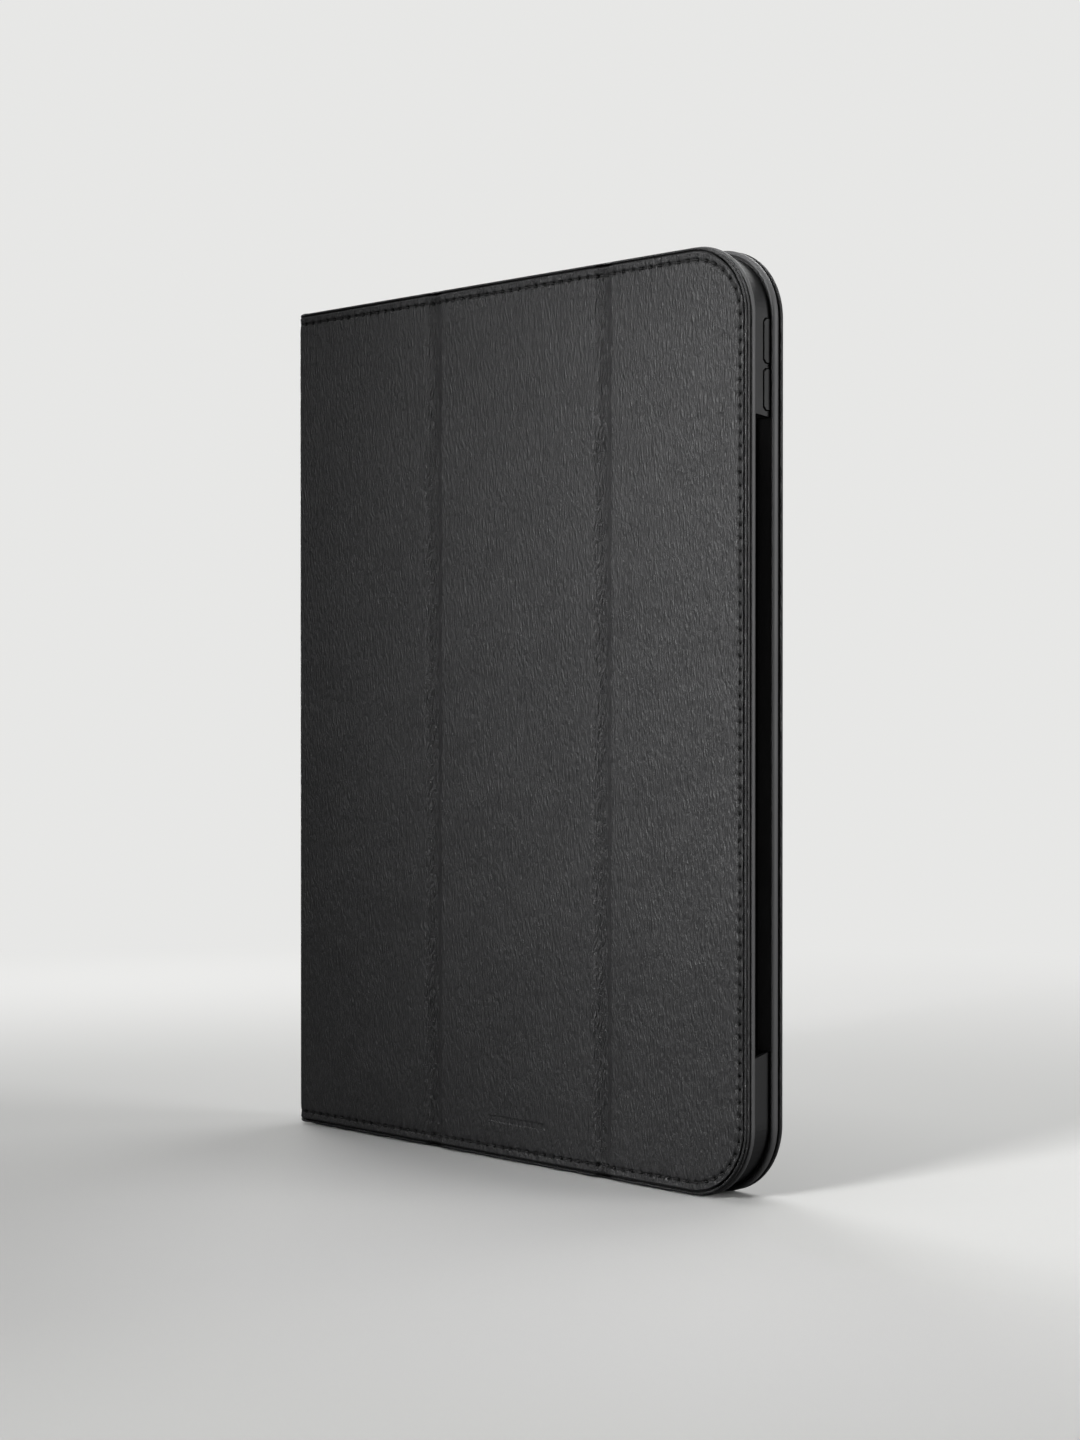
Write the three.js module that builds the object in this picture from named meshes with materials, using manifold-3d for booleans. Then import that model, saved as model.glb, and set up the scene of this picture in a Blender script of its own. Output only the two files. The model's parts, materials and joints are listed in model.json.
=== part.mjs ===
// A folio case for an 11-inch class tablet: a leather-covered back panel that carries a moulded tray,
// and a front cover of three stiff panels joined by two folding channels and a spine.
// Millimetres, +Z up. The closed case stands on its short edge, front cover towards -Y, spine at -X.
// The origin is the middle of its bottom edge.

import * as THREE from "three";
import { mergeVertices } from "three/addons/utils/BufferGeometryUtils.js";
import Module from "manifold-3d";

// ---------------------------------------------------------------- driving dimensions

const HEIGHT = 254;
const WIDTH = 186.4;
const THICKNESS = 15.3;
const COVER_CORNER = 20;

// Layers of the front cover, outside to inside, and of the back cover, inside to outside.
const FRONT_SKIN = 1.2;
const FRONT_BOARD = 1.6;
const FRONT_LINING = 1.4;
const BACK_LINING = 0.9;
const BACK_BOARD = 1.4;
const BACK_SKIN = 1.1;
// The back cover's lining is padded up along its edge, outside the tray.
const BORDER_WIDTH = 1.2;
const BORDER_RISE = 0.8;
const RIM_BEVEL = 0.45;
const BOARD_INSET = 1.0;

// The two folding channels across the front cover.
const CHANNEL_CENTRES = [-29.8, 40.3];
const CHANNEL_HALF = 4.25;
const STRIP_HALF = 3.8;
const STRIP_RECESS = 1.8;
const STRIP_SKIN = 1.1;

// The spine: a flat piece with a round knuckle along each long edge.
const KNUCKLE_RADIUS = 1.3;
const SPINE_SKIN = 1.0;
const SPINE_BOARD = 0.8;
const SPINE_GAP = 0.35;
const SPINE_POCKET_END = 1.15;

// The tray that grips the tablet.
const TABLET_HEIGHT = 248.4;
const TABLET_WIDTH = 179.3;
const TRAY_WALL = 1.3;
const TRAY_CORNER = 19;
const TRAY_EDGE_GAP = 1.6;
const LIP_GAP = 0.25;
const LIP_DEPTH = 0.9;
const LIP_WIDTH = 1.2;
const FLOOR_RIM = 0.45;
const FLOOR_INLAY = 0.7;
const FLOOR_PAD = 0.3;
const FLOOR_GAP = 0.1;
const WINDOW_INSET = 4;
const PAD_INSET = 5;
const PAD_CORNER = 12;
const GLUE_INSET = 1;

// Openings in the tray.
const CAMERA_SIZE = 38;
const CAMERA_FROM_EDGE = 8.3;
const CAMERA_CORNER = 9;
const SIDE_OPENING = { bottom: 39, top: 208, slant: 1.3, depth: 4.6 };
const SPEAKER = { from: 26, to: 52, half: 1.6 };
const PORT_HALF = { x: 9, y: 2.4 };
const FIT = 0.3;
// How far a cutter reaches past the face it cuts.
const OVER = 1;

// Push pads over the tablet's buttons: tongues cut in the tray wall, rooted at their back edge.
const PAD_FRONT = 1.2;
const PAD_ROOT = 3.75;
const PAD_ROOT_GAP = 0.2;
const PAD_SLOT = 0.35;
const PAD_PROUD = 0.25;
const PAD_CHAMFER = 0.9;
const VOLUME_PADS = { volume_up_pad: [222.1, 233.6], volume_down_pad: [209.6, 220.3] };
const POWER_PAD = [57, 70];

// Stitching: a thread in a groove, one row along every outer edge.
const STITCH_INSET = 3.0;
const THREAD_HALF = 0.3;
const GROOVE_HALF = 0.45;
const GROOVE_DEPTH = 0.45;
const THREAD_DEPTH = 0.35;
// How far a thread stops short of the ends of its panel.
const THREAD_END = 0.6;

// Magnets and the steel strip that the free edge holds on to as a stand.
const MAGNET = { width: 5, height: 22, thick: 1.2, fromEdge: 8.5 };
const MAGNET_HEIGHTS = { lower: 48, low_middle: 88, high_middle: 166, upper: 206 };
const SLEEP_MAGNET = { radius: 4, thick: 1.2 };
const KEEPER = { width: 8, height: 180, thick: 1.0, fromSpine: 7 };

// The plain pressed bar near the bottom of the middle panel.
const MARK = { centre: 6, height: 11.8, length: 24, width: 1.8, depth: 0.2 };

// ---------------------------------------------------------------- places worked out from them

const LEFT = -WIDTH / 2;
const RIGHT = WIDTH / 2;
const FRONT = -THICKNESS / 2;
const BACK = THICKNESS / 2;
const MIDDLE_Z = HEIGHT / 2;

const frontBoardY = FRONT + FRONT_SKIN;
const frontLiningY = frontBoardY + FRONT_BOARD;
const frontInnerY = frontLiningY + FRONT_LINING;
const backSkinY = BACK - BACK_SKIN;
const backBoardY = backSkinY - BACK_BOARD;
const backInnerY = backBoardY - BACK_LINING;
const panelLeft = LEFT + 2 * KNUCKLE_RADIUS + SPINE_GAP;

const tray = {
  right: RIGHT - TRAY_EDGE_GAP,
  left: RIGHT - TRAY_EDGE_GAP - TABLET_WIDTH - 2 * TRAY_WALL,
  bottom: (HEIGHT - TABLET_HEIGHT) / 2 - TRAY_WALL,
  top: (HEIGHT + TABLET_HEIGHT) / 2 + TRAY_WALL,
  front: frontInnerY + LIP_GAP,
  floor: backInnerY - FLOOR_RIM,
};

const LEATHER = { color: 0x2a2a2b, roughness: 0.62, metalness: 0 };
const LINING = { color: 0x242425, roughness: 0.85, metalness: 0 };
const BOARD = { color: 0x6b6459, roughness: 0.9, metalness: 0 };
const THREAD = { color: 0x161617, roughness: 0.8, metalness: 0 };
const PLASTIC = { color: 0x1c1c1e, roughness: 0.4, metalness: 0 };
const FILM = { color: 0xd8d6cc, roughness: 0.5, metalness: 0 };
const STEEL = { color: 0x9a9c9f, roughness: 0.35, metalness: 0.9 };
const MAGNET_METAL = { color: 0xb4b6ba, roughness: 0.25, metalness: 1 };

// ---------------------------------------------------------------- shape helpers

const wasm = await Module();
wasm.setup();

function toSolid(geometry) {
  const bare = geometry.index ? geometry.toNonIndexed() : geometry.clone();
  bare.deleteAttribute("normal");
  bare.deleteAttribute("uv");
  const merged = mergeVertices(bare, 1e-4);
  const vertProperties = new Float32Array(merged.attributes.position.array);
  const triVerts = new Uint32Array(merged.index.array);
  return new wasm.Manifold(new wasm.Mesh({ numProp: 3, vertProperties, triVerts }));
}

function toGeometry(solid) {
  const mesh = solid.getMesh();
  const geometry = new THREE.BufferGeometry();
  geometry.setAttribute("position", new THREE.BufferAttribute(mesh.vertProperties, 3));
  geometry.setIndex(new THREE.BufferAttribute(mesh.triVerts, 1));
  return geometry;
}

// The base geometry with every cutter taken away from it.
function cut(base, cutters) {
  let solid = toSolid(base);
  for (const cutter of cutters) {
    solid = solid.subtract(toSolid(cutter));
  }
  return toGeometry(solid);
}

function join(first, second) {
  return toGeometry(toSolid(first).add(toSolid(second)));
}

// An outline in the X-Z plane with rounded corners: radii are bottom right, top right, top left, bottom left.
function outline(x0, x1, z0, z1, radii = [0, 0, 0, 0]) {
  const [br, tr, tl, bl] = radii;
  const shape = new THREE.Shape();
  shape.moveTo(x0 + bl, z0);
  shape.lineTo(x1 - br, z0);
  if (br) shape.absarc(x1 - br, z0 + br, br, -Math.PI / 2, 0, false);
  shape.lineTo(x1, z1 - tr);
  if (tr) shape.absarc(x1 - tr, z1 - tr, tr, 0, Math.PI / 2, false);
  shape.lineTo(x0 + tl, z1);
  if (tl) shape.absarc(x0 + tl, z1 - tl, tl, Math.PI / 2, Math.PI, false);
  shape.lineTo(x0, z0 + bl);
  if (bl) shape.absarc(x0 + bl, z0 + bl, bl, Math.PI, 1.5 * Math.PI, false);
  return shape;
}

// A flat sheet of that outline from y0 to y1, with its rims eased by a small bevel.
function sheet(shape, y0, y1, bevel = 0, curveSegments = 10) {
  const geometry = new THREE.ExtrudeGeometry(shape, {
    depth: y1 - y0 - 2 * bevel,
    curveSegments,
    bevelEnabled: bevel > 0,
    bevelThickness: bevel,
    bevelSize: bevel,
    bevelOffset: -bevel,
    bevelSegments: 2,
  });
  geometry.rotateX(Math.PI / 2);
  geometry.translate(0, y1 - bevel, 0);
  return geometry;
}

function box(x0, x1, y0, y1, z0, z1) {
  const geometry = new THREE.BoxGeometry(x1 - x0, y1 - y0, z1 - z0);
  geometry.translate((x0 + x1) / 2, (y0 + y1) / 2, (z0 + z1) / 2);
  return geometry;
}

// An outline in the X-Y plane carried straight up from z0 to z1.
function column(shape, z0, z1) {
  const geometry = new THREE.ExtrudeGeometry(shape, {
    depth: z1 - z0,
    bevelEnabled: false,
    curveSegments: 8,
  });
  geometry.translate(0, 0, z0);
  return geometry;
}

// The band of a U-shaped stitch row: along the bottom, up the free edge and back along the top.
function stitchBand(xStart, half) {
  const outer = STITCH_INSET - half;
  const inner = STITCH_INSET + half;
  const shape = new THREE.Shape();
  const arcX = RIGHT - COVER_CORNER;
  const lowZ = COVER_CORNER;
  const highZ = HEIGHT - COVER_CORNER;
  shape.moveTo(xStart, outer);
  shape.lineTo(arcX, outer);
  shape.absarc(arcX, lowZ, COVER_CORNER - outer, -Math.PI / 2, 0, false);
  shape.absarc(arcX, highZ, COVER_CORNER - outer, 0, Math.PI / 2, false);
  shape.lineTo(xStart, HEIGHT - outer);
  shape.lineTo(xStart, HEIGHT - inner);
  shape.lineTo(arcX, HEIGHT - inner);
  shape.absarc(arcX, highZ, COVER_CORNER - inner, Math.PI / 2, 0, true);
  shape.absarc(arcX, lowZ, COVER_CORNER - inner, 0, -Math.PI / 2, true);
  shape.lineTo(xStart, inner);
  return shape;
}

// ---------------------------------------------------------------- the assembly

const group = new THREE.Group();

function add(name, geometry, material) {
  const mesh = new THREE.Mesh(geometry, new THREE.MeshStandardMaterial(material));
  mesh.name = name;
  group.add(mesh);
}

// ---- front cover: three panels, each a skin, a stiff board and a lining

const roundRight = [COVER_CORNER, COVER_CORNER, 0, 0];
const square = [0, 0, 0, 0];
const [channel1, channel2] = CHANNEL_CENTRES;

const panels = {
  hinge_panel: { x0: panelLeft, x1: channel1 - CHANNEL_HALF, radii: square },
  middle_panel: { x0: channel1 + CHANNEL_HALF, x1: channel2 - CHANNEL_HALF, radii: square },
  free_panel: { x0: channel2 + CHANNEL_HALF, x1: RIGHT, radii: roundRight },
};

// Straight stitch rows at the bottom and the top of a panel, as boxes of the given half width and depth.
function straightRows(x0, x1, half, y0, y1) {
  const low = box(x0, x1, y0, y1, STITCH_INSET - half, STITCH_INSET + half);
  const high = low.clone().translate(0, 0, HEIGHT - 2 * STITCH_INSET);
  return { low, high };
}

const threadY = [FRONT + GROOVE_DEPTH - THREAD_DEPTH, FRONT + GROOVE_DEPTH];
const grooveY = [FRONT - OVER, FRONT + GROOVE_DEPTH];

function magnetBox(z, slack) {
  const x1 = RIGHT - MAGNET.fromEdge + MAGNET.width / 2 + slack;
  const x0 = RIGHT - MAGNET.fromEdge - MAGNET.width / 2 - slack;
  const halfHeight = MAGNET.height / 2 + slack;
  const y0 = frontLiningY - MAGNET.thick - slack;
  const y1 = slack ? frontLiningY + OVER : frontLiningY;
  return box(x0, x1, y0, y1, z - halfHeight, z + halfHeight);
}

function sleepDisc(slack) {
  const length = SLEEP_MAGNET.thick + slack;
  const radius = SLEEP_MAGNET.radius + slack;
  const disc = new THREE.CylinderGeometry(radius, radius, length, 32);
  return disc.translate(RIGHT - MAGNET.fromEdge, frontLiningY - length / 2, MIDDLE_Z);
}

function keeperStrip(slack) {
  const x0 = panelLeft + KEEPER.fromSpine - KEEPER.width / 2 - slack;
  const x1 = x0 + KEEPER.width + 2 * slack;
  const halfHeight = KEEPER.height / 2 + slack;
  const y0 = frontLiningY - KEEPER.thick - slack;
  const y1 = slack ? frontLiningY + OVER : frontLiningY;
  return box(x0, x1, y0, y1, MIDDLE_Z - halfHeight, MIDDLE_Z + halfHeight);
}

const boardPockets = {
  hinge_panel: [keeperStrip(FIT)],
  middle_panel: [],
  free_panel: [...Object.values(MAGNET_HEIGHTS).map((z) => magnetBox(z, FIT)), sleepDisc(FIT)],
};

const pressedMark = outline(
  MARK.centre - MARK.length / 2,
  MARK.centre + MARK.length / 2,
  MARK.height - MARK.width / 2,
  MARK.height + MARK.width / 2,
  Array(4).fill(MARK.width / 2),
);

for (const [name, { x0, x1, radii }] of Object.entries(panels)) {
  const face = outline(x0, x1, 0, HEIGHT, radii);
  const boardRadii = radii.map((r) => Math.max(0, r - BOARD_INSET));
  const core = outline(x0 + BOARD_INSET, x1 - BOARD_INSET, BOARD_INSET, HEIGHT - BOARD_INSET, boardRadii);
  const grooves = [];
  if (name === "free_panel") {
    grooves.push(sheet(stitchBand(x0 - OVER, GROOVE_HALF), ...grooveY));
    const thread = sheet(stitchBand(x0 + THREAD_END, THREAD_HALF), ...threadY);
    add("free_panel_stitching", thread, THREAD);
  } else {
    const { low, high } = straightRows(x0 - OVER, x1 + OVER, GROOVE_HALF, ...grooveY);
    const rows = straightRows(x0 + THREAD_END, x1 - THREAD_END, THREAD_HALF, ...threadY);
    grooves.push(low, high);
    add(`${name}_stitching_bottom`, rows.low, THREAD);
    add(`${name}_stitching_top`, rows.high, THREAD);
  }
  if (name === "middle_panel") {
    grooves.push(sheet(pressedMark, FRONT - OVER, FRONT + MARK.depth));
  }
  add(`${name}_skin`, cut(sheet(face, FRONT, frontBoardY, RIM_BEVEL), grooves), LEATHER);
  add(`${name}_board`, cut(sheet(core, frontBoardY, frontLiningY), boardPockets[name]), BOARD);
  add(`${name}_lining`, sheet(face, frontLiningY, frontInnerY, RIM_BEVEL), LINING);
}

for (const [place, z] of Object.entries(MAGNET_HEIGHTS)) {
  add(`closing_magnet_${place}`, magnetBox(z, 0), MAGNET_METAL);
}
add("sleep_wake_magnet", sleepDisc(0), MAGNET_METAL);
add("stand_keeper_strip", keeperStrip(0), STEEL);

// ---- folding channels: a strip of leather glued to a strip of lining, thinner than the panels

const stripFront = FRONT + STRIP_RECESS;
CHANNEL_CENTRES.forEach((centre, index) => {
  const strip = outline(centre - STRIP_HALF, centre + STRIP_HALF, 0, HEIGHT);
  const layer = stripFront + STRIP_SKIN;
  add(`fold_strip_${index + 1}_skin`, sheet(strip, stripFront, layer), LEATHER);
  add(`fold_strip_${index + 1}_lining`, sheet(strip, layer, frontInnerY), LINING);
});

// ---- spine: leather wrapped round a narrow board, with a knuckle at each long edge

const knuckleX = LEFT + KNUCKLE_RADIUS;
const knuckleY = BACK - KNUCKLE_RADIUS;
const spineInner = LEFT + 2 * KNUCKLE_RADIUS;
const spineSkinX = LEFT + SPINE_SKIN;
const spineBoardX = spineSkinX + SPINE_BOARD;
const spinePocketY = knuckleY - SPINE_POCKET_END;

const spineSection = new THREE.Shape();
spineSection.moveTo(LEFT, -knuckleY);
spineSection.absarc(knuckleX, -knuckleY, KNUCKLE_RADIUS, Math.PI, 2 * Math.PI, false);
spineSection.lineTo(spineInner, -spinePocketY);
spineSection.lineTo(spineSkinX, -spinePocketY);
spineSection.lineTo(spineSkinX, spinePocketY);
spineSection.lineTo(spineInner, spinePocketY);
spineSection.absarc(knuckleX, knuckleY, KNUCKLE_RADIUS, 0, Math.PI, false);
add("spine_skin", column(spineSection, 0, HEIGHT), LEATHER);

const spineBoard = box(
  spineSkinX,
  spineBoardX,
  -spinePocketY + FIT,
  spinePocketY - FIT,
  BOARD_INSET,
  HEIGHT - BOARD_INSET,
);
add("spine_board", spineBoard, BOARD);
add("spine_lining", box(spineBoardX, spineInner, -spinePocketY, spinePocketY, 0, HEIGHT), LINING);

// ---- back cover: skin, board and lining round the tray's floor

const camera = {
  x1: tray.right - CAMERA_FROM_EDGE,
  z1: tray.top - CAMERA_FROM_EDGE,
};
camera.x0 = camera.x1 - CAMERA_SIZE;
camera.z0 = camera.z1 - CAMERA_SIZE;

function cameraOpening(slack) {
  const radii = Array(4).fill(CAMERA_CORNER + slack);
  return outline(camera.x0 - slack, camera.x1 + slack, camera.z0 - slack, camera.z1 + slack, radii);
}

const floorWindow = {
  x0: tray.left + TRAY_WALL + WINDOW_INSET,
  x1: tray.right - TRAY_WALL - WINDOW_INSET,
  z0: tray.bottom + TRAY_WALL + WINDOW_INSET,
  z1: tray.top - TRAY_WALL - WINDOW_INSET,
  radius: TRAY_CORNER - TRAY_WALL - WINDOW_INSET,
};

function windowOutline(inset) {
  const { x0, x1, z0, z1, radius } = floorWindow;
  const radii = Array(4).fill(radius - inset);
  return outline(x0 + inset, x1 - inset, z0 + inset, z1 - inset, radii);
}

const backFace = outline(panelLeft, RIGHT, 0, HEIGHT, roundRight);
const backCore = outline(
  panelLeft + BOARD_INSET,
  RIGHT - BOARD_INSET,
  BOARD_INSET,
  HEIGHT - BOARD_INSET,
  roundRight.map((r) => Math.max(0, r - BOARD_INSET)),
);
const through = [FRONT - OVER, BACK + OVER];
const backGroove = sheet(stitchBand(panelLeft - OVER, GROOVE_HALF), BACK - GROOVE_DEPTH, BACK + OVER);
const backThread = sheet(
  stitchBand(panelLeft + THREAD_END, THREAD_HALF),
  BACK - GROOVE_DEPTH,
  BACK - GROOVE_DEPTH + THREAD_DEPTH,
);
const cameraHole = sheet(cameraOpening(0), ...through);
const widerCameraHole = sheet(cameraOpening(BOARD_INSET), ...through);
const liningWindow = sheet(windowOutline(0), ...through);
add("back_cover_skin", cut(sheet(backFace, backSkinY, BACK, RIM_BEVEL), [backGroove, cameraHole]), LEATHER);
add("back_cover_board", cut(sheet(backCore, backBoardY, backSkinY), [widerCameraHole]), BOARD);
const liningBlank = sheet(backFace, backInnerY - BORDER_RISE, backBoardY, RIM_BEVEL);
const insideBorder = outline(
  panelLeft - OVER,
  RIGHT - BORDER_WIDTH,
  BORDER_WIDTH,
  HEIGHT - BORDER_WIDTH,
  roundRight.map((r) => Math.max(0, r - BORDER_WIDTH)),
);
const liningHollow = sheet(insideBorder, backInnerY - BORDER_RISE - OVER, backInnerY);
add("back_cover_lining", cut(liningBlank, [liningWindow, liningHollow]), LINING);
add("back_cover_stitching", backThread, THREAD);

// ---- tray: a soft rim with an inward lip, moulded round a stiff floor let into the lining's window

const trayRadii = Array(4).fill(TRAY_CORNER);
const pocketRadii = Array(4).fill(TRAY_CORNER - TRAY_WALL);
const lipRadii = Array(4).fill(TRAY_CORNER - TRAY_WALL - LIP_WIDTH);

function trayOutline(inset, radii) {
  return outline(tray.left + inset, tray.right - inset, tray.bottom + inset, tray.top - inset, radii);
}

// The open stretch of the free side, with slanted ends. It also trims the floor's edge.
function sideOpening() {
  const { bottom, top, slant, depth } = SIDE_OPENING;
  const frontY = tray.front - OVER;
  const backY = backInnerY + 3 * OVER;
  const shape = new THREE.Shape();
  shape.moveTo(frontY, bottom - slant);
  shape.lineTo(backY, bottom + slant);
  shape.lineTo(backY, top - slant / 2);
  shape.lineTo(frontY, top + slant / 2);
  const geometry = new THREE.ExtrudeGeometry(shape, { depth: depth + 2 * OVER, bevelEnabled: false });
  // local x, y, z become world Y, Z, X
  geometry.rotateX(Math.PI / 2);
  geometry.rotateZ(Math.PI / 2);
  return geometry.translate(tray.right - depth, 0, 0);
}

const lipY = tray.front + LIP_DEPTH;
const padFloorY = tray.floor + FLOOR_PAD;
const inlayY = backInnerY + FLOOR_INLAY;
const padArea = trayOutline(TRAY_WALL + PAD_INSET, Array(4).fill(PAD_CORNER));

// A stadium-shaped slot through the top or the bottom wall.
function wallSlot(x0, x1, half, z) {
  const middleY = (lipY + tray.floor) / 2;
  const shape = new THREE.Shape();
  shape.moveTo(x0 + half, middleY - half);
  shape.lineTo(x1 - half, middleY - half);
  shape.absarc(x1 - half, middleY, half, -Math.PI / 2, Math.PI / 2, false);
  shape.absarc(x0 + half, middleY, half, Math.PI / 2, 1.5 * Math.PI, false);
  return column(shape, z - 2 * TRAY_WALL, z + 2 * TRAY_WALL);
}

// A pad's outline seen on the wall: along the wall by a and b, rounded off at the front edge.
function padOutline(a, b, slack, root) {
  const front = PAD_FRONT - slack;
  const shape = new THREE.Shape();
  shape.moveTo(a - slack, root);
  shape.lineTo(a - slack, front + PAD_CHAMFER);
  shape.lineTo(a - slack + PAD_CHAMFER, front);
  shape.lineTo(b + slack - PAD_CHAMFER, front);
  shape.lineTo(b + slack, front + PAD_CHAMFER);
  shape.lineTo(b + slack, root);
  return shape;
}

function sidePad([a, b], slack, root, x0, x1) {
  const geometry = new THREE.ExtrudeGeometry(padOutline(a, b, slack, root), {
    depth: x1 - x0,
    bevelEnabled: false,
  });
  // local x, y, z become world Z, Y, -X
  geometry.rotateY(-Math.PI / 2);
  return geometry.translate(x1, 0, 0);
}

function topPad([a, b], slack, root, z0, z1) {
  const geometry = new THREE.ExtrudeGeometry(padOutline(a, b, slack, root), {
    depth: z1 - z0,
    bevelEnabled: false,
  });
  return geometry.translate(0, 0, z0);
}

const padRootY = PAD_ROOT - PAD_ROOT_GAP;
const wallInX = tray.right - TRAY_WALL;
const wallInZ = tray.top - TRAY_WALL;
const rimCutters = [
  sheet(trayOutline(TRAY_WALL, pocketRadii), lipY, backInnerY + OVER),
  sheet(trayOutline(TRAY_WALL + LIP_WIDTH, lipRadii), tray.front - OVER, lipY + OVER),
  sideOpening(),
  wallSlot(-SPEAKER.to, -SPEAKER.from, SPEAKER.half, tray.top),
  wallSlot(SPEAKER.from, SPEAKER.to, SPEAKER.half, tray.top),
  wallSlot(-SPEAKER.to, -SPEAKER.from, SPEAKER.half, tray.bottom),
  wallSlot(SPEAKER.from, SPEAKER.to, SPEAKER.half, tray.bottom),
  wallSlot(-PORT_HALF.x, PORT_HALF.x, PORT_HALF.y, tray.bottom),
  topPad(POWER_PAD, PAD_SLOT, PAD_ROOT, wallInZ - OVER, tray.top + OVER),
];
for (const span of Object.values(VOLUME_PADS)) {
  rimCutters.push(sidePad(span, PAD_SLOT, PAD_ROOT, wallInX - OVER, tray.right + OVER));
}
const rimBlank = sheet(trayOutline(0, trayRadii), tray.front, backInnerY, RIM_BEVEL);
add("tray_rim", cut(rimBlank, rimCutters), PLASTIC);

// The floor is a plate inside the rim, with a thicker middle that drops into the lining's window.
const floorRadii = Array(4).fill(TRAY_CORNER - TRAY_WALL - FLOOR_GAP);
const floorPlate = join(
  sheet(trayOutline(TRAY_WALL + FLOOR_GAP, floorRadii), tray.floor, backInnerY),
  sheet(windowOutline(FIT), tray.floor, inlayY),
);
const padRecess = sheet(padArea, tray.floor - OVER, padFloorY);
add("tray_floor", cut(floorPlate, [padRecess, cameraHole, sideOpening()]), PLASTIC);

const padCameraHole = sheet(cameraOpening(FIT), ...through);
add("tray_floor_pad", cut(sheet(padArea, tray.floor, padFloorY), [padCameraHole]), LINING);
const glueSheet = cut(sheet(windowOutline(GLUE_INSET), inlayY, backBoardY), [widerCameraHole]);
add("tray_adhesive_sheet", glueSheet, FILM);

for (const [name, span] of Object.entries(VOLUME_PADS)) {
  add(name, sidePad(span, 0, padRootY, wallInX, tray.right + PAD_PROUD), PLASTIC);
}
add("power_pad", topPad(POWER_PAD, 0, padRootY, wallInZ, tray.top + PAD_PROUD), PLASTIC);

export default group;
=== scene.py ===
"""The leather folio case, dressed for its picture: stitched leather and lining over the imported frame."""

import json
import math

import bpy
import numpy as np
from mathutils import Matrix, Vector, geometry, noise


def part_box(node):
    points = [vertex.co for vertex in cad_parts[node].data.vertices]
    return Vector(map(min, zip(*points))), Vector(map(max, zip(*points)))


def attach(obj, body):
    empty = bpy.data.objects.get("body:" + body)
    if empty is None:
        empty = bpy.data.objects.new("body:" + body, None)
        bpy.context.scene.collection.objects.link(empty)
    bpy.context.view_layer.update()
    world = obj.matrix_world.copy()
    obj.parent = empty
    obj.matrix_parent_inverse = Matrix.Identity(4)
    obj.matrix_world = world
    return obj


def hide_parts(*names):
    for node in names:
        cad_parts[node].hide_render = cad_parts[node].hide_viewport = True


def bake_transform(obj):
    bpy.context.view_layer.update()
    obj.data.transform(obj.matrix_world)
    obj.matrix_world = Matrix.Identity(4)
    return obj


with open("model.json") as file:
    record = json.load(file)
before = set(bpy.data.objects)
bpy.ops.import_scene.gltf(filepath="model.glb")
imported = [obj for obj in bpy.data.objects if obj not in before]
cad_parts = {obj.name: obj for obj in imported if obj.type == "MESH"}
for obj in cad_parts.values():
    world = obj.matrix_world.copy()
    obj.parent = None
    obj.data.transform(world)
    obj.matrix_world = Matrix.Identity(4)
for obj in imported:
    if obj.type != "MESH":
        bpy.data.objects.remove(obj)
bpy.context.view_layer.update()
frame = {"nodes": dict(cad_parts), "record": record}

MM = 0.001


def node_box(node):
    low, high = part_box(node)
    return [v / MM for v in low], [v / MM for v in high]


# ---------------------------------------------------------------- places taken from the frame, in millimetres

(LEFT, _, _), (SPINE_INNER_X, _, _) = node_box("spine_skin")
(_, FRONT, _), (RIGHT, BOARD_Y, HEIGHT) = node_box("free_panel_skin")
(_, LINING_Y, _), (_, INNER_Y, _) = node_box("free_panel_lining")
(_, BACK_SKIN_Y, _), (_, BACK, _) = node_box("back_cover_skin")
(_, BORDER_Y, _), (_, BACK_BOARD_Y, _) = node_box("back_cover_lining")
BACK_INNER_Y = node_box("tray_rim")[1][1]
(_, STRIP_Y, _), (_, STRIP_LINING_Y, _) = node_box("fold_strip_1_skin")
(SPINE_BOARD_X, _, _), (SPINE_LINING_X, _, _) = node_box("spine_board")
HINGE_RIGHT = node_box("hinge_panel_skin")[1][0]
CHANNELS = [sum(side[0] for side in node_box(f"fold_strip_{i}_skin")) / 2 for i in (1, 2)]
CHANNEL_HALF = CHANNELS[0] - HINGE_RIGHT
RECESS = STRIP_Y - FRONT

CORNER = 20.0
KNUCKLE = 1.3
CAMERA_SIZE = 38.0
CAMERA_CORNER = 9.0
CAMERA_FROM_RIM = 8.3
STITCH_INSET = 3.0
STITCHES = 174
SIDE_ROW_SHIFT = -0.7
END_ROW_SHIFT = 0.85
THREAD_RADIUS = 0.2
THREAD_DEPTH = 0.36
THREAD_DIVE = 0.5
THREAD_GAP = 0.12
BAND = 8.0

# The stitch row: along the bottom, round a corner, up the free edge, round a corner and back along the top.
ROW_RADIUS = CORNER - STITCH_INSET
STRAIGHT = RIGHT - CORNER - LEFT
QUARTER = ROW_RADIUS * math.pi / 2
SIDE = HEIGHT - 2 * CORNER
ROW_LENGTH = 2 * STRAIGHT + 2 * QUARTER + SIDE
PITCH = ROW_LENGTH / STITCHES
FINE = PITCH / 8

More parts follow.
